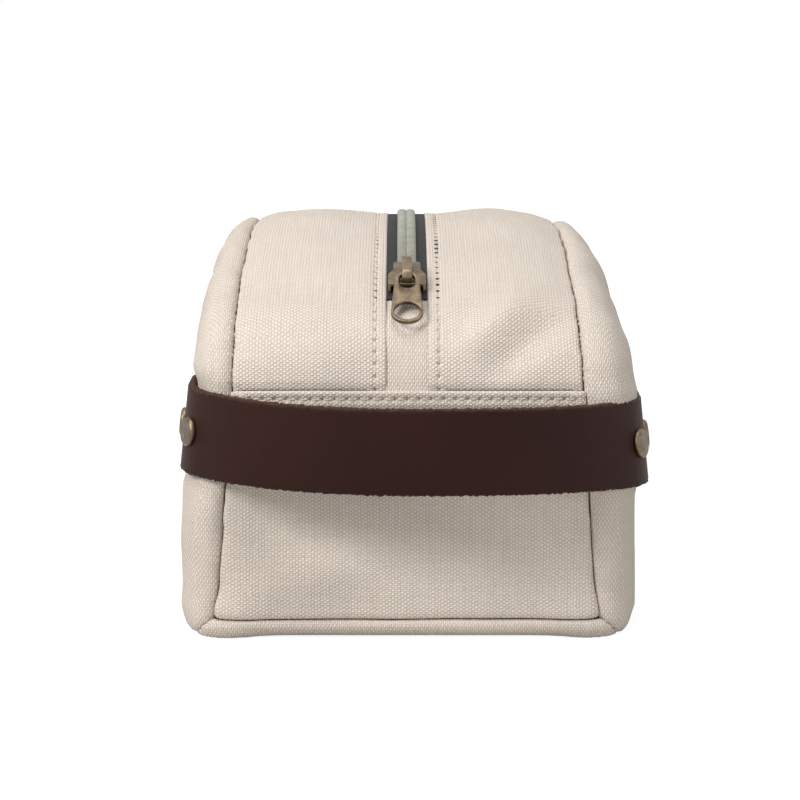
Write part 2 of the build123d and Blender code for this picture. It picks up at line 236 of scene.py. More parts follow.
def billow(places, wavelength, seed, stretch=(1, 1, 1)):
    """Soft random swell between about -1 and 1."""
    draw = np.random.default_rng(seed)
    total = np.zeros(len(places))
    waves = 9
    for _ in range(waves):
        way = draw.normal(size=3)
        way *= 2 * math.pi / (np.linalg.norm(way) * wavelength * draw.uniform(0.75, 1.35))
        total += np.sin((places * np.array(stretch)) @ way + draw.uniform(0, 2 * math.pi))
    return total / math.sqrt(waves)


def fold(places, start, end, width):
    """Hump along the line from start to end, rounded off at both ends."""
    a = np.array(start)
    along = np.array(end) - a
    t = np.clip(((places - a) @ along) / (along @ along), 0, 1)
    gap = np.linalg.norm(places - (a + t[:, None] * along), axis=1)
    return np.exp(-((gap / width) ** 2)) * np.sin(np.clip(t, 0.02, 0.98) * math.pi) ** 0.5


hull_nodes = ["left_side_panel", "right_side_panel", "bottom_panel", "top_panel_left", "top_panel_right"]
bpy.ops.object.select_all(action="DESELECT")
for name in hull_nodes:
    copy = bpy.data.objects.new("form", frame["nodes"][name].data.copy())
    bpy.context.collection.objects.link(copy)
    copy.select_set(True)
    bpy.context.view_layer.objects.active = copy
bpy.ops.object.join()
form = bpy.context.object
bpy.ops.object.mode_set(mode="EDIT")
bpy.ops.mesh.select_all(action="SELECT")
bpy.ops.mesh.remove_doubles(threshold=0.01 * mm)
bpy.ops.mesh.convex_hull()
bpy.ops.object.mode_set(mode="OBJECT")
apply_modifier(form, "REMESH", mode="VOXEL", voxel_size=weave_step)
apply_modifier(form, "SMOOTH", factor=0.5, iterations=8)


strap_middle = 64.2 * mm
strap_half = 13.2 * mm
strap_shift = 2.4 * mm
strap_end_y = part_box("leather_strap")[1][1]


def strap_drop(x):
    """How far the worn strap hangs below its level at a distance from the middle, more on the right."""
    side_drop = np.where(x < 0, 1.6 * mm, 5.4 * mm)
    return side_drop * np.clip(np.abs(x) / (71 * mm), 0, 1.1) ** 2


def slack(places, normals):
    """How far the filled bag's cloth swells out or sinks in, by place. Its parts are in millimetres."""
    at = places / mm
    x, y, z = at.T
    front = np.clip(-normals[:, 1], 0, 1)
    left = np.clip(-normals[:, 0], 0, 1)
    right = np.clip(normals[:, 0], 0, 1)
    up = np.clip(normals[:, 2], 0, 1)
    loose_cloth = 0.5 * billow(at, 70, 3) + 0.22 * billow(at, 26, 5)
    right_belly = right * (1.7 * bell(z, 45, 45) + 1.6 * bell(z, 80, 14) + 2.2 * bell(z, 90, 20))
    left_belly = left * (1.6 * bell(z, 98, 18) + 1.6 * up * bell(z, 112, 12))
    corner = bell(np.abs(x), 64, 16) * bell(np.abs(y), 112, 20)
    base_corners = 3.2 * corner * bell(z, 2, 11)
    front_hollow = -1.6 * front * bell(x, 0, 38) * bell(z, 36, 22)
    front_folds = front * (
        1.4 * fold(at, (-55, -114, 12), (0, -114, 30), 8)
        - 1.6 * fold(at, (-50, -114, 42), (4, -114, 22), 7)
        + 1.2 * fold(at, (0, -114, 45), (54, -114, 20), 8)
    )
    shoulder_folds = (
        2.4 * fold(at, (18, -106, 92), (50, -70, 116), 5)
        - 3.2 * fold(at, (24, -110, 82), (56, -88, 108), 6)
        - 1.8 * fold(at, (12, -100, 96), (40, -70, 118), 5)
    )
    top_fall = up * (1.5 * bell(np.abs(x), 30, 15) - 1.6 * step(x, 30, 56) - 0.8 * step(-x, 42, 56))
    from_strap = np.abs(places[:, 2] + strap_drop(places[:, 0]) - strap_middle)
    under_strap = step(strap_half + 6 * mm - from_strap, 0, 6 * mm)
    under_strap *= step(strap_end_y + 6 * mm - places[:, 1], 0, 6 * mm)
    strap_press = (0.9 * right - 2.5 * left) * under_strap
    swell = loose_cloth + right_belly + left_belly + base_corners + front_hollow
    swell += front_folds + shoulder_folds + top_fall + strap_press
    return mm * swell * np.maximum(step(z, 0, 8), corner)


def cut_form(name, planes):
    """Copy of the form that keeps what lies behind each plane, given as a point and a normal."""
    piece = bpy.data.objects.new(name, form.data.copy())
    bpy.context.collection.objects.link(piece)
    select_only(piece)
    bpy.ops.object.mode_set(mode="EDIT")
    for point, normal in planes:
        bpy.ops.mesh.select_all(action="SELECT")
        bpy.ops.mesh.bisect(plane_co=point, plane_no=normal, clear_outer=True, threshold=0.02 * mm)
    bpy.ops.mesh.select_all(action="SELECT")
    bpy.ops.mesh.normals_make_consistent(inside=False)
    bpy.ops.object.mode_set(mode="OBJECT")
    return piece


def refine(piece, near, cuts):
    """Divide more finely the faces whose middles pass a test."""
    select_only(piece)
    bpy.ops.object.mode_set(mode="EDIT")
    bpy.ops.mesh.select_mode(type="FACE")
    bpy.ops.mesh.select_all(action="DESELECT")
    bpy.ops.object.mode_set(mode="OBJECT")
    middles = np.empty(len(piece.data.polygons) * 3)
    piece.data.polygons.foreach_get("center", middles)
    piece.data.polygons.foreach_set("select", near(middles.reshape(-1, 3)))
    bpy.ops.object.mode_set(mode="EDIT")
    bpy.ops.mesh.subdivide(number_cuts=cuts)
    bpy.ops.mesh.select_mode(type="VERT")
    bpy.ops.object.mode_set(mode="OBJECT")


def side_distance(places):
    """How far outside the side seams a point lies, negative on the end and top panels."""
    x, z = np.abs(places[:, 0]), places[:, 2]
    return np.minimum(x - groove_top, x - (groove_base - groove_slope * (z - base_seam)))


def seam_roll(distance, depth, round_over):
    """Depth of the cloth's turn into a seam at a distance from it, on a circle's arc."""
    t = np.clip(1 - distance / round_over, 0, 1)
    return depth * (1 - np.sqrt(np.clip(1 - t * t, 0, 1)))


def weave_uv(piece):
    """UV map in metres, laid on each face by the axis that it faces most."""
    mesh = piece.data
    layer = mesh.uv_layers.new(name="weave") if not mesh.uv_layers else mesh.uv_layers[0]
    corners = len(mesh.loops)
    point_of = np.empty(corners, dtype=np.int64)
    mesh.loops.foreach_get("vertex_index", point_of)
    places, _ = points_of(piece)
    normals = np.empty(len(mesh.polygons) * 3)
    totals = np.empty(len(mesh.polygons), dtype=np.int64)
    mesh.polygons.foreach_get("normal", normals)
    mesh.polygons.foreach_get("loop_total", totals)
    axis = np.repeat(np.argmax(np.abs(normals.reshape(-1, 3)), axis=1), totals)
    at = places[point_of]
    across = np.where(axis == 0, at[:, 1], at[:, 0])
    along = np.where(axis == 2, at[:, 1], at[:, 2])
    layer.data.foreach_set("uv", np.column_stack((across, along)).ravel())


def finish_cloth(piece, thickness, material, node):
    """Give the sheet its thickness, map its weave and let it stand for its node."""
    apply_modifier(piece, "SOLIDIFY", thickness=thickness, offset=-1.0)
    weave_uv(piece)
    select_only(piece)
    bpy.ops.object.shade_smooth()
    piece.data.materials.clear()
    piece.data.materials.append(material)
    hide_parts(node)
    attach(piece, "bag")


def new_group(name, inputs, outputs):
    """Empty shader node group with named sockets."""
    group = bpy.data.node_groups.new(name, "ShaderNodeTree")
    for label, kind, value in inputs:
        socket = group.interface.new_socket(label, in_out="INPUT", socket_type=kind)
        if value is not None:
            socket.default_value = value
    for label, kind in outputs:
        group.interface.new_socket(label, in_out="OUTPUT", socket_type=kind)
    return group


def calc(tree, operation, a, b=None, c=None):
    """Math node whose inputs are sockets or numbers, and its result."""
    node = tree.nodes.new("ShaderNodeMath")
    node.operation = operation
    for slot_number, value in enumerate((a, b, c)):
        if value is None:
            continue
        if isinstance(value, (int, float)):
            node.inputs[slot_number].default_value = value
        else:
            tree.links.new(value, node.inputs[slot_number])
    return node.outputs[0]


def blend_color(tree, factor, a, b):
    """Mix two colours, each a socket or four numbers."""
    node = tree.nodes.new("ShaderNodeMix")
    node.data_type = "RGBA"
    for label, value in (("Factor", factor), ("A", a), ("B", b)):
        socket = [s for s in node.inputs if s.name == label and s.enabled][0]
        if isinstance(value, (int, float, tuple)):
            socket.default_value = value
        else:
            tree.links.new(value, socket)
    return [s for s in node.outputs if s.enabled][0]


def noise_at(tree, vector, scale, detail=3.0, roughness=0.5):
    """Noise value between 0 and 1."""
    node = tree.nodes.new("ShaderNodeTexNoise")
    node.inputs["Scale"].default_value = scale
    node.inputs["Detail"].default_value = detail
    node.inputs["Roughness"].default_value = roughness
    tree.links.new(vector, node.inputs["Vector"])
    return node.outputs["Fac"]


def scaled(tree, vector, scale):
    """The vector with each axis scaled."""
    node = tree.nodes.new("ShaderNodeMapping")
    node.inputs["Scale"].default_value = scale
    tree.links.new(vector, node.inputs["Vector"])
    return node.outputs[0]


def plain_weave_group():
    """Height of a plain weave, over and under, with uneven yarns. Vector is in metres: the warp runs
    along its Y and the weft along its X."""
    group = new_group(
        "plain_weave",
        [
            ("Vector", "NodeSocketVector", None),
            ("Warps per metre", "NodeSocketFloat", 1000.0),
            ("Wefts per metre", "NodeSocketFloat", 1000.0),
        ],
        [("Height", "NodeSocketFloat"), ("Slub", "NodeSocketFloat")],
    )
    crown_power = 0.5
    weft_share = 0.3
    yarn_share = 0.9
    slub_share = 0.6
    entry = group.nodes.new("NodeGroupInput")
    result = group.nodes.new("NodeGroupOutput")
    wander = noise_at(group, entry.outputs["Vector"], 260.0, 2.0)
    wobble = calc(group, "MULTIPLY", calc(group, "SUBTRACT", wander, 0.5), 0.7)
    split = group.nodes.new("ShaderNodeSeparateXYZ")
    group.links.new(entry.outputs["Vector"], split.inputs[0])
    a = calc(group, "MULTIPLY_ADD", split.outputs["X"], entry.outputs["Warps per metre"], wobble)
    b = calc(group, "MULTIPLY_ADD", split.outputs["Y"], entry.outputs["Wefts per metre"], wobble)

    def yarn(across, along, shift):
        arch = calc(group, "ABSOLUTE", calc(group, "SINE", calc(group, "MULTIPLY", across, math.pi)))
        crown = calc(group, "POWER", arch, crown_power)
        turn = calc(group, "ADD", along, calc(group, "ADD", calc(group, "FLOOR", across), shift))
        wave = calc(group, "COSINE", calc(group, "MULTIPLY", turn, math.pi))
        over = calc(group, "MULTIPLY_ADD", wave, 0.5, 0.5)
        return calc(group, "MULTIPLY", crown, over)

    weft = calc(group, "MULTIPLY", yarn(b, a, 0.5), weft_share)
    height = calc(group, "MULTIPLY", calc(group, "MAXIMUM", yarn(a, b, -0.5), weft), yarn_share)
    thick_warp = noise_at(group, scaled(group, entry.outputs["Vector"], (1100.0, 45.0, 45.0)), 1.0, 2.0)
    thick_weft = noise_at(group, scaled(group, entry.outputs["Vector"], (45.0, 1500.0, 45.0)), 1.0, 2.0)
    slub = calc(group, "MULTIPLY", calc(group, "ADD", thick_warp, thick_weft), 0.5)
    group.links.new(calc(group, "MULTIPLY_ADD", slub, slub_share, height), result.inputs["Height"])
    group.links.new(slub, result.inputs["Slub"])
    return group


plain_weave = plain_weave_group()


def start_material(name):
    """New material with its node tree, its shader and its texture coordinates."""
    material = bpy.data.materials.new(name)
    material.use_nodes = True
    tree = material.node_tree
    return material, tree, tree.nodes["Principled BSDF"], tree.nodes.new("ShaderNodeTexCoord")


def add_weave(tree, vector, yarns):
    """Plain weave with its warps and wefts per metre."""
    weave = tree.nodes.new("ShaderNodeGroup")
    weave.node_tree = plain_weave
    weave.inputs["Warps per metre"].default_value = yarns[0]
    weave.inputs["Wefts per metre"].default_value = yarns[1]
    tree.links.new(vector, weave.inputs["Vector"])
    return weave.outputs["Height"]


def add_relief(tree, shader, height, distance, strength=1.0):
    """Bump of the shader's surface, distance being what a height of 1 stands for."""
    bump = tree.nodes.new("ShaderNodeBump")
    bump.inputs["Distance"].default_value = distance
    bump.inputs["Strength"].default_value = strength
    tree.links.new(height, bump.inputs["Height"])
    tree.links.new(bump.outputs[0], shader.inputs["Normal"])


def canvas_material(name, light, dark, yarns, relief):
    """Undyed cloth: woven relief, uneven yarns and tone, and painted shade in the weave's hollows."""
    material, tree, shader, coords = start_material(name)
    weave = add_weave(tree, coords.outputs["UV"], yarns)
    clouds = noise_at(tree, coords.outputs["Object"], 18.0, 3.0)
    fuzz = noise_at(tree, coords.outputs["Object"], 2600.0, 2.0)
    # The colour darkens where the weave lies low, which is painted shade in its hollows; the cloudy tone
    # over it is the cloth's own.
    shade = calc(tree, "MULTIPLY_ADD", weave, 0.75, calc(tree, "MULTIPLY", clouds, 0.22))
    tree.links.new(blend_color(tree, shade, dark, light), shader.inputs["Base Color"])
    shader.inputs["Roughness"].default_value = 0.92
    shader.inputs["Specular IOR Level"].default_value = 0.065
    shader.inputs["Sheen Weight"].default_value = 0.1
    shader.inputs["Sheen Roughness"].default_value = 0.6
    add_relief(tree, shader, calc(tree, "MULTIPLY_ADD", fuzz, 0.25, weave), relief)
    return material


cloth_light = (0.93, 0.84, 0.75, 1)
cloth_dark = (0.40, 0.33, 0.27, 1)
warps_per_metre = 1050.0
wefts_per_metre = 1680.0
weave_relief = 0.32 * mm
upright = (warps_per_metre, wefts_per_metre)
turned = (wefts_per_metre, warps_per_metre)
canvas = canvas_material("canvas", cloth_light, cloth_dark, upright, weave_relief)
cross_canvas = canvas_material("canvas_turned", cloth_light, cloth_dark, turned, weave_relief)

slope_normal = Vector((1, 0, groove_slope)).normalized()
groove_point = Vector((groove_base, 0, base_seam))
sides = {"left": -1, "right": 1}
ends = {"front": -1, "rear": 1}


def flipped(vector, sign):
    """The vector on the bag's other side."""
    return Vector((vector[0] * sign, vector[1], vector[2]))


# Side panels. Each is one piece of canvas that wraps round the bag's corners on to its ends, bottom
# and top, and is sewn to the other panels with its edge turned in.

side_roll = (3.2 * mm, 3.4 * mm)
mitre_roll = (0.7 * mm, 1.6 * mm)
seam_zone = 4.5 * mm
for label, sign in sides.items():
    panel = cut_form(
        label + "_side_canvas",
        [
            (flipped(Vector((groove_top, 0, 0)), sign), Vector((-sign, 0, 0))),
            (flipped(groove_point, sign), -flipped(slope_normal, sign)),
            (flipped(groove_point, sign), -flipped(Vector((1, 0, 1)).normalized(), sign)),
        ],
    )
    refine(panel, lambda at: side_distance(at) < seam_zone, 1)
    places, normals = points_of(panel)
    inside = side_distance(places)
    mitre = (np.abs(places[:, 0]) + places[:, 2] - groove_base - base_seam) / math.sqrt(2)
    pucker = 0.35 * mm * billow(places, 9 * mm, 11) * np.exp(-inside / (5 * mm))
    roll = 1.3 * mm * bell(inside, 6 * mm, 4.5 * mm) * step(places[:, 2], 8 * mm, 20 * mm)
    moved = slack(places, normals) + pucker + roll
    moved -= seam_roll(inside, *side_roll)
    moved -= seam_roll(mitre, *mitre_roll)
    set_points(panel, places + normals * moved[:, None])
    finish_cloth(panel, canvas_thickness, cross_canvas, label + "_side_panel")


# Bottom panel. A rectangle of the same canvas under the bag. Its ends turn up to the seams of the end
# panels, and its sides are sewn to the side panels along the foot.

bottom_roll = (2.2 * mm, 2.4 * mm)
bottom = cut_form(
    "bottom_canvas",
    [
        (Vector((0, 0, base_seam)), Vector((0, 0, 1))),
        (groove_point, Vector((1, 0, 1)).normalized()),
        (flipped(groove_point, -1), Vector((-1, 0, 1)).normalized()),
    ],
)
refine(bottom, lambda at: at[:, 2] > 1.0 * mm, 1)
places, normals = points_of(bottom)
below_seam = base_seam - places[:, 2]
mitre = (groove_base + base_seam - np.abs(places[:, 0]) - places[:, 2]) / math.sqrt(2)
moved = -seam_roll(np.maximum(below_seam, 0), *bottom_roll)
moved -= seam_roll(np.maximum(mitre, 0), *mitre_roll)
moved += slack(places, normals)
set_points(bottom, places + normals * moved[:, None])
finish_cloth(bottom, canvas_thickness, cross_canvas, "bottom_panel")


# End panels. One stands across each end between the side panels. Its upper edge is hemmed over the
# foot of the top panels, stands a little proud, and is stitched along the fold.

hem_pitch = 3.7 * mm
hem_stitch_drop = 2.6 * mm
needle_radius = 0.45 * mm
needle_depth = 1.1 * mm
dent_width = 0.8 * mm
panel_roll = (2.2 * mm, 2.8 * mm)
foot_roll = (1.6 * mm, 2.4 * mm)
hem_roll = (1.4 * mm, 0.9 * mm)
hem_height = 1.5 * mm
hem_depth = (4.5 * mm, 7.0 * mm)
pucker_zone = 3.5 * mm
foot_zone = 3.0 * mm


def stitch_dents(along, pitch, across, line, depth):
    """Dent along a row of topstitching, with a pit at each needle hole."""
    to_hole = np.abs((along / pitch + 0.5) % 1.0 - 0.5) * pitch
    pit = np.exp(-((to_hole / needle_radius) ** 2) - ((across - line) / needle_radius) ** 2)
    return depth * bell(across, line, dent_width) + needle_depth * pit


for label, sign in ends.items():
    end = cut_form(
        label + "_end_canvas",
        [
            (Vector((0, 0, 0)), Vector((0, -sign, 0))),
            (Vector((0, 0, base_seam)), Vector((0, 0, -1))),
            (Vector((0, 0, seam)), Vector((0, 0, 1))),
            (groove_point, slope_normal),
            (flipped(groove_point, -1), flipped(slope_normal, -1)),
        ],
    )
    refine(end, lambda at: (side_distance(at) > -pucker_zone) | (at[:, 2] < base_seam + foot_zone), 1)
    refine(end, lambda at: (at[:, 2] > seam - seam_zone) & (side_distance(at) < -pucker_zone), 3)
    places, normals = points_of(end)
    inside = -side_distance(places)
    under = seam - places[:, 2]
    over_base = places[:, 2] - base_seam
    moved = slack(places, normals) - panel_recess
    moved += 0.3 * mm * billow(places, 10 * mm, 12) * np.exp(-inside / (4 * mm))
    moved -= seam_roll(inside, *panel_roll)
    moved -= seam_roll(over_base, *foot_roll)
    moved += hem_height * step(-under, -hem_depth[1], -hem_depth[0])
    moved -= seam_roll(under, *hem_roll)
    moved -= stitch_dents(places[:, 0], hem_pitch, under, hem_stitch_drop, 0.3 * mm)
    set_points(end, places + normals * moved[:, None])
    finish_cloth(end, canvas_thickness, canvas, label + "_end_panel")


# Top panels. Two strips of canvas arch over the bag from hem to hem. Each is folded under along the
# zip and topstitched through the tape beside the fold.

stitch_pitch = 4.4 * mm
zip_stitch_inset = 3.4 * mm
top_radius = 242.5 * mm
arc_centre = [j for j in frame["joints"] if j["name"] == "zip_travel"][0]["pos_m"][2]
shoulder_angle = math.radians(21.081)
shoulder_radius = 37.5 * mm
shoulder_y = (top_radius - shoulder_radius) * math.sin(shoulder_angle)
shoulder_z = arc_centre + (top_radius - shoulder_radius) * math.cos(shoulder_angle)
zip_end_setback = 4.8 * mm
zip_end_run = top_radius * shoulder_angle - zip_end_setback


def profile_run(y, z):
    """Distance along the bag's side profile from its crest, over the arc and then the shoulder."""
    over_top = np.arctan2(np.abs(y), z - arc_centre)
    over_shoulder = np.arctan2(np.abs(y) - shoulder_y, z - shoulder_z)
    beyond = top_radius * shoulder_angle + shoulder_radius * (over_shoulder - shoulder_angle)
    return np.sign(y) * np.where(over_top < shoulder_angle, top_radius * over_top, beyond)


def profile_point(run):
    """Place and outward direction, in Y and Z, at a distance along the profile from its crest."""
    way = math.copysign(1, run)
    rest = abs(run) - top_radius * shoulder_angle
    if rest < 0:
        angle = abs(run) / top_radius
        y, z, radius = 0.0, arc_centre, top_radius
    else:
        angle = shoulder_angle + rest / shoulder_radius
        y, z, radius = shoulder_y, shoulder_z, shoulder_radius
    out = (way * math.sin(angle), math.cos(angle))
    return (way * y + radius * out[0], z + radius * out[1]), out


fold_roll = (0.6 * mm, 0.6 * mm)
stitch_zone = 1.6 * mm
tape_cover = 17 * mm
tape_depth = 1.8 * mm
held_depth = 0.2 * mm
for label, sign in sides.items():
    top = cut_form(
        label + "_top_canvas",
        [
            (Vector((0, 0, seam)), Vector((0, 0, -1))),
            (flipped(Vector((groove_top, 0, 0)), sign), Vector((sign, 0, 0))),
            (flipped(Vector((zip_half_gap, 0, 0)), sign), Vector((-sign, 0, 0))),
        ],
    )
    refine(top, lambda at: side_distance(at) > -pucker_zone, 1)
    refine(top, lambda at: np.abs(np.abs(at[:, 0]) - zip_half_gap - zip_stitch_inset) < stitch_zone, 3)
    refine(top, lambda at: np.abs(at[:, 0]) < zip_half_gap + stitch_zone, 1)
    places, normals = points_of(top)
    inside = -side_distance(places)
    from_fold = np.abs(places[:, 0]) - zip_half_gap
    above = places[:, 2] - seam
    loose = slack(places, normals)
    moved = np.maximum(loose, -held_depth) * step(from_fold, 0, 8 * mm) - panel_recess
    moved += np.minimum(loose + held_depth, 0) * step(from_fold, 9 * mm, 18 * mm)
    moved += 0.3 * mm * billow(places, 10 * mm, 13) * np.exp(-inside / (4 * mm))
    moved -= seam_roll(inside, *panel_roll)
    moved -= seam_roll(from_fold, *fold_roll)
    moved -= 0.6 * mm * step(-above, -2.5 * mm, 0)
    run = profile_run(places[:, 1], places[:, 2])
    moved -= stitch_dents(run, stitch_pitch, from_fold, zip_stitch_inset, 0.25 * mm)
    over_tape = (np.abs(places[:, 0]) < tape_cover) & (np.abs(run) < zip_end_run + 2 * mm)
    moved = np.where(over_tape, np.maximum(moved, -tape_depth), moved)
    set_points(top, places + normals * moved[:, None])
    finish_cloth(top, canvas_thickness, canvas, "top_panel_" + label)


# Lining. A thin loose nylon bag hangs inside the canvas, a few millimetres from it, and is sewn to the
# zip's tapes along its mouth.

lining_inset = 6.5 * mm
lining_mouth = 13.0 * mm
lining_thickness = 0.5 * mm
lining_light = (0.5, 0.46, 0.41, 1)
lining_dark = (0.38, 0.35, 0.31, 1)
lining_yarns = (4200.0, 4200.0)
lining_bag = bpy.data.objects.new("lining_bag", form.data.copy())
bpy.context.collection.objects.link(lining_bag)
apply_modifier(lining_bag, "DECIMATE", ratio=0.12)
places, normals = points_of(lining_bag)
creases = 0.8 * mm * billow(places, 30 * mm, 21)
set_points(lining_bag, places - normals * (lining_inset + creases)[:, None])
select_only(lining_bag)
bpy.ops.object.mode_set(mode="EDIT")
bpy.ops.mesh.select_all(action="DESELECT")
bpy.ops.object.mode_set(mode="OBJECT")
for face in lining_bag.data.polygons:
    middle = face.center
    along = abs(float(profile_run(middle.y, middle.z)))
    face.select = abs(middle.x) < lining_mouth and middle.z > seam and along < zip_end_run
bpy.ops.object.mode_set(mode="EDIT")
bpy.ops.mesh.delete(type="FACE")
bpy.ops.object.mode_set(mode="OBJECT")
nylon = canvas_material("lining_nylon", lining_light, lining_dark, lining_yarns, 0.03 * mm)
finish_cloth(lining_bag, lining_thickness, nylon, "lining")
bpy.data.objects.remove(form, do_unlink=True)


# Zip tabs. A strip of the same canvas lies between the folded edges beyond each end of the zip, and
# its cut end shows under the pull.

tab_half_width = 8.6 * mm
tab_depth = 1.8 * mm
tab_thickness = 1.0 * mm
tab_ripple = 0.25 * mm
tab_edge_drop = 0.8 * mm
tab_tuck = 1.5 * mm


def run_at_height(height):
    """Distance along the profile at which it comes down to a height."""
    angle = math.acos((height - shoulder_z) / shoulder_radius)
    return top_radius * shoulder_angle + shoulder_radius * (angle - shoulder_angle)


for label, sign in ends.items():
    end_run = run_at_height(seam - tab_tuck)
    bpy.ops.object.select_all(action="DESELECT")
    bpy.ops.mesh.primitive_grid_add(x_subdivisions=24, y_subdivisions=64, size=1.0)
    tab = bpy.context.object
    tab.name = label + "_tab_canvas"
    places, _ = points_of(tab)
    moved = np.empty_like(places)
    for number, (across, along, _) in enumerate(places):
        (y, z), out = profile_point(sign * (zip_end_run + (along + 0.5) * (end_run - zip_end_run)))
        sink = panel_recess + tab_depth + tab_ripple * math.sin(along * 9 + across * 2)
        sink += tab_edge_drop * abs(across * 2) ** 6
        moved[number] = (across * 2 * tab_half_width, y - out[0] * sink, z - out[1] * sink)
    set_points(tab, moved)
    select_only(tab)
    if tab.data.polygons[0].normal.z < 0:
        tab.data.flip_normals()
    finish_cloth(tab, tab_thickness, cross_canvas, label + "_zip_tab")


# Topstitching. Stout undyed thread holds the folded edges beside the zip and the hem across each
# end. Each stitch is a short rounded length of thread that dips into its two needle holes.

thread, thread_tree, thread_shader, thread_coords = start_material("undyed_thread")
thread_noise = noise_at(thread_tree, thread_coords.outputs["Object"], 1500.0, 2.0)
thread_color = blend_color(thread_tree, thread_noise, (0.5, 0.42, 0.35, 1), (0.82, 0.73, 0.63, 1))
thread_tree.links.new(thread_color, thread_shader.inputs["Base Color"])
thread_shader.inputs["Roughness"].default_value = 0.75
add_relief(thread_tree, thread_shader, thread_noise, 0.1 * mm)

thread_radius = 0.27 * mm
stitch_gap = 1.1 * mm
stitch_bow = 1.4
stitch_sink = 1.1
ray_reach = 40 * mm
hem_ray_reach = 200 * mm
hem_half_length = 54 * mm


def surface_at(piece, outside, inward):
    """Where a line from outside first meets the piece, and the surface's normal there."""
    hit, place, normal, _ = piece.ray_cast(Vector(outside), Vector(inward))
    return (place, normal) if hit else (None, None)


def sew(name, piece, stations, length):
    """Row of stitches on a piece. Each station is a start point outside it, the way in, and the way
    along the seam."""
    bpy.ops.object.select_all(action="DESELECT")
    bpy.ops.mesh.primitive_uv_sphere_add(segments=8, ring_count=6, radius=1.0)
    pattern = bpy.context.object
    shape, _ = points_of(pattern)
    faces = [tuple(face.vertices) for face in pattern.data.polygons]
    bpy.data.objects.remove(pattern, do_unlink=True)
    all_points = []
    all_faces = []
    for outside, inward, along in stations:
        place, normal = surface_at(piece, outside, inward)
        if place is None:
            continue
        ahead = (Vector(along) - normal * Vector(along).dot(normal)).normalized()
        side = normal.cross(ahead)
        half = (length - stitch_gap) / 2
        bow = 1 - np.abs(shape[:, 2]) ** 3
        first = len(all_points)
        for (u, v, w), lift in zip(shape, bow):
            at = place + ahead * (w * half) + side * (u * thread_radius)
            all_points.append(at + normal * (v + stitch_bow * lift - stitch_sink) * thread_radius)
        all_faces += [tuple(first + index for index in face) for face in faces]
    mesh = bpy.data.meshes.new(name)
    mesh.from_pydata([tuple(point) for point in all_points], [], all_faces)
    row = bpy.data.objects.new(name, mesh)
    bpy.context.collection.objects.link(row)
    select_only(row)
    bpy.ops.object.mode_set(mode="EDIT")
    bpy.ops.mesh.select_all(action="SELECT")
    bpy.ops.mesh.normals_make_consistent(inside=False)
    bpy.ops.object.mode_set(mode="OBJECT")
    bpy.ops.object.shade_smooth()
    mesh.materials.append(thread)
    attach(row, "bag")


last_run = run_at_height(seam + 1.0 * mm)
for label, sign in sides.items():
    stations = []
    count = int(last_run / stitch_pitch)
    for number in range(-count, count):
        (y, z), out = profile_point((number + 0.5) * stitch_pitch)
        x = sign * (zip_half_gap + zip_stitch_inset)
        outside = (x, y + out[0] * ray_reach, z + out[1] * ray_reach)
        stations.append((outside, (0, -out[0], -out[1]), (0, -out[1], out[0])))
    sew("zip_stitching_" + label, bpy.data.objects[label + "_top_canvas"], stations, stitch_pitch)

for label, sign in ends.items():
    count = int(hem_half_length / hem_pitch)
    hem_z = seam - hem_stitch_drop
    stations = [
        (((number + 0.5) * hem_pitch, sign * hem_ray_reach, hem_z), (0, -sign, 0), (1, 0, 0))
        for number in range(-count, count)
    ]
    sew(label + "_hem_stitching", bpy.data.objects[label + "_end_canvas"], stations, hem_pitch)


# Zip tapes. Two dark grey woven ribbons lie under the folds, and each carries half of the chain. The
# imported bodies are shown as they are, with the ribbon's cloth on them.

def tape_material():
    """Dark ribbon with a close weave and a slight sheen."""
    material, tree, shader, coords = start_material("zip_ribbon")
    weave = add_weave(tree, coords.outputs["Object"], (1900.0, 1500.0))
    # The ribbon darkens where its weave lies low, which is painted shade in the hollows.
    tone = blend_color(tree, weave, (0.006, 0.0062, 0.0068, 1), (0.05, 0.051, 0.053, 1))
    tree.links.new(tone, shader.inputs["Base Color"])
    shader.inputs["Roughness"].default_value = 0.75
    shader.inputs["Specular IOR Level"].default_value = 0.2
    add_relief(tree, shader, weave, 0.2 * mm)
    return material


ribbon = tape_material()
for name in ("zip_tape_left", "zip_tape_right"):
    frame["nodes"][name].data.materials.clear()
    frame["nodes"][name].data.materials.append(ribbon)


# Zip chain. Each half is a coil of stout nylon line, flattened and sewn on its tape. The two halves
# mesh half a pitch apart, so their heads overlap along the middle.

coil_pitch = 1.27 * mm
coil_wire = 0.35 * mm
coil_half_width = 1.35 * mm
coil_half_height = 0.5 * mm
coil_middle = 1.45 * mm
coil_lift = 0.85 * mm
tape_radius = top_radius - panel_recess - canvas_thickness
coil_front_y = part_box("zip_coil_left")[0][1]
coil_top = 2.0 * mm
coil_rear_setback = 2.6 * mm
turn_points = 16
turn_advance = 0.7


def nylon_material():
    """Grey-green nylon line, a little cloudy and a little shiny."""
    material, tree, shader, coords = start_material("coil_nylon")
    clouds = noise_at(tree, coords.outputs["Object"], 300.0, 3.0)
    tone = blend_color(tree, clouds, (0.2, 0.205, 0.16, 1), (0.42, 0.43, 0.36, 1))
    tree.links.new(tone, shader.inputs["Base Color"])
    shader.inputs["Roughness"].default_value = 0.42
    shader.inputs["Coat Weight"].default_value = 0.15
    add_relief(tree, shader, noise_at(tree, coords.outputs["Object"], 4000.0), 0.03 * mm)
    return material


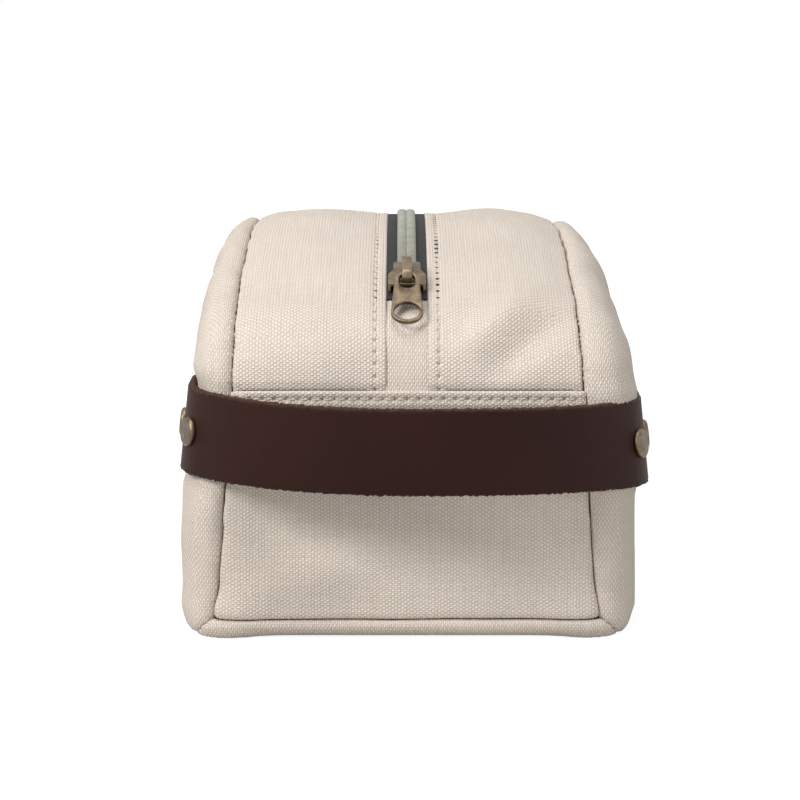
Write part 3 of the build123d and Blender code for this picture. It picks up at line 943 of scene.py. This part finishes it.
coil_nylon = nylon_material()
rear_run = -(zip_end_run - coil_rear_setback)
front_run = math.asin(-coil_front_y / (tape_radius + coil_top)) * tape_radius
for label, sign in sides.items():
    turns = int((front_run - rear_run) / coil_pitch) - 1
    shift = 0.0 if sign < 0 else 0.5
    route = []
    for number in range(turns * turn_points):
        turn, part = divmod(number, turn_points)
        angle = 2 * math.pi * part / turn_points
        advance = max(0.0, part / turn_points - turn_advance) / (1 - turn_advance)
        run = front_run - coil_wire - (turn + advance + shift) * coil_pitch
        stand = tape_radius + coil_lift + coil_half_height * math.sin(angle)
        across = sign * (coil_middle + coil_half_width * math.cos(angle))
        theta = run / tape_radius
        route.append((across, -stand * math.sin(theta), arc_centre + stand * math.cos(theta)))
    curve = bpy.data.curves.new("coil", "CURVE")
    curve.dimensions = "3D"
    spline = curve.splines.new("POLY")
    spline.points.add(len(route) - 1)
    for point, place in zip(spline.points, route):
        point.co = (*place, 1)
    curve.bevel_depth = coil_wire
    curve.bevel_resolution = 1
    curve.use_fill_caps = True
    coil = bpy.data.objects.new("coil_" + label, curve)
    bpy.context.collection.objects.link(coil)
    select_only(coil)
    bpy.ops.object.convert(target="MESH")
    coil = bpy.context.object
    bpy.ops.object.shade_smooth()
    coil.data.materials.clear()
    coil.data.materials.append(coil_nylon)
    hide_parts("zip_coil_" + label)
    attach(coil, "bag")


# Zip slider. A small casting with a bridge over it and a spring strip inside, plated in dark brass
# and rubbed bright on its edges. It runs along the chain.

def aged_metal(name, bright, dark, rough):
    """Plated metal: dark and dull in its hollows, rubbed bright where it stands proud."""
    material, tree, shader, coords = start_material(name)
    geometry = tree.nodes.new("ShaderNodeNewGeometry")
    blotch = noise_at(tree, coords.outputs["Object"], 320.0, 4.0, 0.6)
    fine = noise_at(tree, coords.outputs["Object"], 2200.0, 3.0)
    proud = calc(tree, "MULTIPLY_ADD", geometry.outputs["Pointiness"], 6.0, -3.0)
    rub = calc(tree, "ADD", proud, calc(tree, "MULTIPLY_ADD", blotch, 1.0, -0.3))
    clamp = tree.nodes.new("ShaderNodeClamp")
    tree.links.new(rub, clamp.inputs[0])
    tree.links.new(blend_color(tree, clamp.outputs[0], dark, bright), shader.inputs["Base Color"])
    shader.inputs["Metallic"].default_value = 1.0
    gloss = calc(tree, "MULTIPLY_ADD", clamp.outputs[0], -0.14, rough)
    tree.links.new(calc(tree, "MULTIPLY_ADD", fine, 0.1, gloss), shader.inputs["Roughness"])
    add_relief(tree, shader, calc(tree, "ADD", fine, blotch), 0.06 * mm, 0.6)
    return material


antique_brass = aged_metal("antique_brass", (0.42, 0.32, 0.20, 1), (0.06, 0.044, 0.032, 1), 0.42)
spring_steel = aged_metal("spring_strip", (0.55, 0.55, 0.54, 1), (0.3, 0.3, 0.3, 1), 0.35)


def softened(name, node, body, bevel, material):
    """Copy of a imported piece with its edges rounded, which stands for it."""
    piece = bpy.data.objects.new(name, frame["nodes"][node].data.copy())
    bpy.context.collection.objects.link(piece)
    select_only(piece)
    bpy.ops.object.mode_set(mode="EDIT")
    bpy.ops.mesh.select_all(action="SELECT")
    bpy.ops.mesh.remove_doubles(threshold=0.002 * mm)
    bpy.ops.mesh.dissolve_limited(angle_limit=math.radians(1.0))
    bpy.ops.object.mode_set(mode="OBJECT")
    apply_modifier(
        piece, "BEVEL", width=bevel, segments=3, limit_method="ANGLE", angle_limit=math.radians(35)
    )
    select_only(piece)
    bpy.ops.object.shade_smooth_by_angle(angle=math.radians(40))
    piece.data.materials.clear()
    piece.data.materials.append(material)
    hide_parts(node)
    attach(piece, body)
    return piece


casting_bevel = 0.35 * mm
strip_bevel = 0.06 * mm
softened("slider_casting", "slider_body", "slider", casting_bevel, antique_brass)
softened("slider_bridge", "slider_crown", "slider", casting_bevel, antique_brass)
softened("lock_strip", "lock_spring", "slider", strip_bevel, spring_steel)


# Zip pull. A stamped brass tag hangs from the bridge by a squarish ring hole, has a round eye at its
# far end, and is a little dished between them. It is drawn flat, then turned down on its bar.

pull_bar = [j for j in frame["joints"] if j["name"] == "pull_flip"][0]["pos_m"]
slider_tilt = 17.162
pull_droop = 11.5
pull_slope = math.radians(slider_tilt + pull_droop)
pull_length = 25.4 * mm
pull_width = 10.5 * mm
pull_top_width = 7.4 * mm
pull_thickness = 1.4 * mm
pull_bevel = 0.35 * mm
ring_size = (5.0 * mm, 6.8 * mm)
ring_squareness = 2.6
ring_start = 0.7 * mm
eye_size = (8.0 * mm, 8.8 * mm)
eye_rim = 1.2 * mm
heel = ((1.2 * mm, -0.7 * mm), (0.3 * mm, -0.4 * mm), (0.0, 0.4 * mm))
dish_depth = 0.35 * mm
dish_middle = 10.0 * mm
oval_steps = 40
tip_steps = 24


def outline_spline(curve, points):
    """Closed outline of straight runs in a flat curve."""
    spline = curve.splines.new("POLY")
    spline.points.add(len(points) - 1)
    for point, (u, v) in zip(spline.points, points):
        point.co = (u, v, 0, 1)
    spline.use_cyclic_u = True


def oval(middle, size, square=2.0):
    """Points round an oval hole. A squareness over 2 fills out its corners."""
    points = []
    for number in range(oval_steps):
        angle = 2 * math.pi * number / oval_steps
        c, s = math.cos(angle), math.sin(angle)
        u = math.copysign(abs(c) ** (2 / square), c) * size[0] / 2
        v = math.copysign(abs(s) ** (2 / square), s) * size[1] / 2
        points.append((u, middle + v))
    return points


tip = pull_length - pull_thickness / 2
round_middle = tip - pull_width / 2
blade = [(pull_top_width / 2 - inset, height) for inset, height in heel]
for number in range(tip_steps + 1):
    angle = math.pi * number / tip_steps
    blade.append((pull_width / 2 * math.cos(angle), round_middle + pull_width / 2 * math.sin(angle)))
blade += [(inset - pull_top_width / 2, height) for inset, height in reversed(heel)]
eye_middle = tip - eye_rim - eye_size[1] / 2
flat_pull = bpy.data.curves.new("pull", "CURVE")
flat_pull.dimensions = "2D"
flat_pull.fill_mode = "BOTH"
outline_spline(flat_pull, [(u * (1 - pull_bevel / pull_width), v) for u, v in blade])
outline_spline(flat_pull, oval(ring_start + ring_size[1] / 2, ring_size, ring_squareness))
outline_spline(flat_pull, oval(eye_middle, eye_size))
flat_pull.extrude = pull_thickness / 2 - pull_bevel
flat_pull.bevel_depth = pull_bevel
flat_pull.bevel_resolution = 3
flat_pull.offset = -pull_bevel
pull = bpy.data.objects.new("pull", flat_pull)
bpy.context.collection.objects.link(pull)
select_only(pull)
bpy.ops.object.convert(target="MESH")
pull = bpy.context.object
bpy.ops.object.mode_set(mode="EDIT")
bpy.ops.mesh.select_all(action="SELECT")
bpy.ops.mesh.remove_doubles(threshold=0.005 * mm)
bpy.ops.object.mode_set(mode="OBJECT")
places, _ = points_of(pull)
dished = dish_depth * bell(places[:, 1], dish_middle, 3.0 * mm) * bell(places[:, 0], 0, 3.2 * mm)
stand = places[:, 2] - np.where(places[:, 2] > 0, dished, 0)
ahead = places[:, 1]
bent = np.column_stack(
    (
        -places[:, 0],
        pull_bar[1] - ahead * math.cos(pull_slope) - stand * math.sin(pull_slope),
        pull_bar[2] - ahead * math.sin(pull_slope) + stand * math.cos(pull_slope),
    )
)
set_points(pull, bent)
select_only(pull)
bpy.ops.object.mode_set(mode="EDIT")
bpy.ops.mesh.select_all(action="SELECT")
bpy.ops.mesh.normals_make_consistent(inside=False)
bpy.ops.object.mode_set(mode="OBJECT")
bpy.ops.object.shade_smooth_by_angle(angle=math.radians(40))
pull.data.materials.clear()
pull.data.materials.append(antique_brass)
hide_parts("pull_tab")
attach(pull, "pull")


# Zip stops. Two small stops at the chain's front end and one across its rear end keep the slider on
# it. They are moulded on the tapes and have a dull metal look.

stop_metal = aged_metal("stop_metal", (0.3, 0.26, 0.19, 1), (0.06, 0.05, 0.04, 1), 0.45)
stop_bevel = 0.3 * mm
softened("front_stops", "zip_front_stops", "bag", stop_bevel, stop_metal)
softened("rear_stop", "zip_rear_stop", "bag", stop_bevel, stop_metal)


# Carry strap. One band of thick dark brown leather, cut raw, bent round the end of the bag and
# riveted twice on each side.

def leather_material():
    """Dark oiled leather: fine creased grain, soft sheen, lighter fibres on the cut edges."""
    material, tree, shader, coords = start_material("strap_leather")
    spot = coords.outputs["Object"]
    cells = tree.nodes.new("ShaderNodeTexVoronoi")
    cells.feature = "DISTANCE_TO_EDGE"
    cells.inputs["Scale"].default_value = 1500.0
    tree.links.new(spot, cells.inputs["Vector"])
    crease = calc(tree, "MINIMUM", calc(tree, "MULTIPLY", cells.outputs["Distance"], 5.0), 1.0)
    clouds = noise_at(tree, spot, 40.0, 4.0)
    fibre = noise_at(tree, spot, 900.0, 4.0, 0.7)
    edge = tree.nodes.new("ShaderNodeVertexColor")
    edge.layer_name = "cut_edge"
    face_color = blend_color(tree, clouds, (0.017, 0.0052, 0.004, 1), (0.038, 0.0135, 0.0105, 1))
    edge_color = blend_color(tree, fibre, (0.02, 0.009, 0.007, 1), (0.10, 0.05, 0.034, 1))
    tone = blend_color(tree, edge.outputs["Color"], face_color, edge_color)
    tree.links.new(tone, shader.inputs["Base Color"])
    tree.links.new(calc(tree, "MULTIPLY_ADD", clouds, 0.16, 0.46), shader.inputs["Roughness"])
    shader.inputs["Specular IOR Level"].default_value = 0.1
    add_relief(tree, shader, calc(tree, "MULTIPLY_ADD", fibre, 0.6, crease), 0.07 * mm, 0.5)
    return material


edge_roughness = 0.2 * mm
strap_wave = 0.3 * mm
strap_low, strap_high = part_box("leather_strap")
strap = bpy.data.objects.new("strap", frame["nodes"]["leather_strap"].data.copy())
bpy.context.collection.objects.link(strap)
select_only(strap)
bpy.ops.object.mode_set(mode="EDIT")
bpy.ops.mesh.select_all(action="SELECT")
bpy.ops.mesh.remove_doubles(threshold=0.005 * mm)
bpy.ops.object.mode_set(mode="OBJECT")
apply_modifier(strap, "REMESH", mode="VOXEL", voxel_size=0.62 * mm)
apply_modifier(strap, "SMOOTH", factor=0.5, iterations=5)
places, normals = points_of(strap)
from_edge = np.minimum(places[:, 2] - strap_low[2], strap_high[2] - places[:, 2])
rough = edge_roughness * billow(places, 1.9 * mm, 31) * bell(from_edge, 0, 0.9 * mm)
wave = strap_wave * billow(places, 60 * mm, 32) * step(-places[:, 1], 118 * mm, 128 * mm)
set_points(strap, places + normals * rough[:, None] + np.outer(wave, (0, 1, 0)))


def hang_like_strap(piece):
    """Move a piece with the strap, which sits a little to the right and low on its right side."""
    at, _ = points_of(piece)
    drop = strap_drop(at[:, 0])
    at[:, 0] += strap_shift
    at[:, 2] -= drop
    set_points(piece, at)


places, normals = points_of(strap)
hang_like_strap(strap)
edge_tint = np.clip(np.abs(normals[:, 2]) * 1.6 - 0.5, 0, 1)
tint = strap.data.color_attributes.new("cut_edge", "FLOAT_COLOR", "POINT")
tint.data.foreach_set("color", np.column_stack((edge_tint,) * 3 + (np.ones(len(edge_tint)),)).ravel())
select_only(strap)
bpy.ops.object.shade_smooth()
strap.data.materials.clear()
strap.data.materials.append(leather_material())
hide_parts("leather_strap")
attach(strap, "bag")


# Rivets. Two turned brass caps on each end of the strap are set on headed posts, which pass through
# the leather and the canvas and bear on its inside.

rivet_bevel = 0.15 * mm
for label in sides:
    for node, name in (("rivet_caps_", "caps_"), ("rivet_studs_", "studs_")):
        rivets = softened(name + label, node + label, "bag", rivet_bevel, antique_brass)
        hang_like_strap(rivets)
